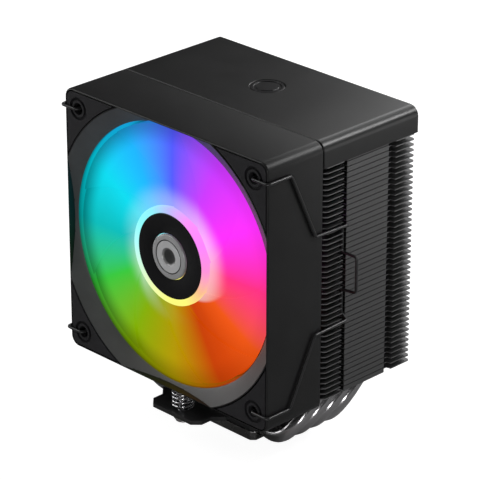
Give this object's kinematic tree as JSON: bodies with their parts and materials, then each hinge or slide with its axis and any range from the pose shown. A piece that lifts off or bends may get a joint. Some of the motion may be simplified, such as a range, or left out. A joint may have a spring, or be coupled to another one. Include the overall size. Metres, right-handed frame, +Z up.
{
  "type": "cpu tower cooler",
  "caption": "Tower cooler for a processor: a cold plate and bent heat pipes carry a stack of thin fins under a smooth cover, with a lit fan held on by wire clips.",
  "frame": {"origin": "centre of the cold plate's contact face, where it meets the processor", "axes": "+X across the fan to the right seen from the front, +Y from the fan to the back of the fins (the way the air goes), +Z up along the fin stack, away from the processor"},
  "size_m": [0.1336, 0.0996, 0.1505],
  "materials": {
    "black_plastic": "fine satin moulded black",
    "black_rubber": "matt soft black",
    "lit_plastic": "milky translucent, lit in changing colours from the hub",
    "black_metal": "satin black coat on steel",
    "black_aluminium": "satin black coat on aluminium",
    "bright_steel": "bright plated steel",
    "nickel": "dark nickel plate on copper",
    "copper": "enamelled copper wire",
    "bronze": "sintered bronze",
    "ferrite": "matt dark ferrite and steel sheet",
    "circuit_board": "green solder mask"
  },
  "bodies": {
    "cooler": {"cold_plate": "nickel", "pipe_clamp_block": "black_aluminium", "heat_pipe_1": "nickel", "heat_pipe_2": "nickel", "heat_pipe_3": "nickel", "heat_pipe_4": "nickel", "fin_stack": "black_aluminium", "top_cover": "black_plastic", "cover_emblem": "black_plastic", "crossbar": "black_metal", "crossbar_screw_1": "black_metal", "crossbar_screw_2": "black_metal", "crossbar_screw_3": "black_metal", "crossbar_screw_4": "black_metal", "screw_spring_front": "bright_steel", "screw_spring_rear": "bright_steel", "screw_bush_front": "bright_steel", "screw_bush_rear": "bright_steel", "fan_frame": "black_plastic", "corner_pad_upper_left": "black_rubber", "corner_pad_upper_right": "black_rubber", "corner_pad_lower_left": "black_rubber", "corner_pad_lower_right": "black_rubber", "damping_strip_left": "black_rubber", "damping_strip_right": "black_rubber", "bearing_sleeve": "bronze", "bearing_cap": "black_plastic", "stator_core": "ferrite", "winding_1": "copper", "winding_2": "copper", "winding_3": "copper", "winding_4": "copper", "light_board": "circuit_board"},
    "rotor": {"impeller": "lit_plastic", "hub_cap": "black_plastic", "hub_badge": "bright_steel", "rotor_yoke": "bright_steel", "rotor_magnet": "ferrite", "shaft": "bright_steel", "shaft_clip": "bright_steel"},
    "front_screw_slide": {"screw_clip_front": "bright_steel"},
    "front_screw": {"sprung_screw_front": "bright_steel"},
    "rear_screw_slide": {"screw_clip_rear": "bright_steel"},
    "rear_screw": {"sprung_screw_rear": "bright_steel"},
    "left_clip": {"wire_clip_left": "black_metal"},
    "right_clip": {"wire_clip_right": "black_metal"}
  },
  "joints": [
    {"name": "rotor_spin", "type": "hinge", "parent": "cooler", "child": "rotor", "pos_m": [0, -0.0478, 0.08975], "axis": [0, 1, 0], "continuous": true},
    {"name": "front_screw_press", "type": "slide", "parent": "cooler", "child": "front_screw_slide", "axis": [0, 0, -1], "range_m": [0, 0.0035], "stiffness_N_per_m": 2500, "deforming": ["screw_spring_front"]},
    {"name": "front_screw_turn", "type": "hinge", "parent": "front_screw_slide", "child": "front_screw", "pos_m": [0, -0.0405, 0.0254], "axis": [0, 0, -1], "continuous": true},
    {"name": "rear_screw_press", "type": "slide", "parent": "cooler", "child": "rear_screw_slide", "axis": [0, 0, -1], "range_m": [0, 0.0035], "stiffness_N_per_m": 2500, "deforming": ["screw_spring_rear"]},
    {"name": "rear_screw_turn", "type": "hinge", "parent": "rear_screw_slide", "child": "rear_screw", "pos_m": [0, 0.0405, 0.0254], "axis": [0, 0, -1], "continuous": true},
    {"name": "left_clip_swing", "type": "hinge", "parent": "cooler", "child": "left_clip", "pos_m": [-0.0525, -0.0495, 0.08975], "axis": [0, 0, 1], "range_deg": [0, 18], "stiffness_Nm_per_rad": 0.3},
    {"name": "right_clip_swing", "type": "hinge", "parent": "cooler", "child": "right_clip", "pos_m": [0.0525, -0.0495, 0.08975], "axis": [0, 0, -1], "range_deg": [0, 18], "stiffness_Nm_per_rad": 0.3}
  ]
}
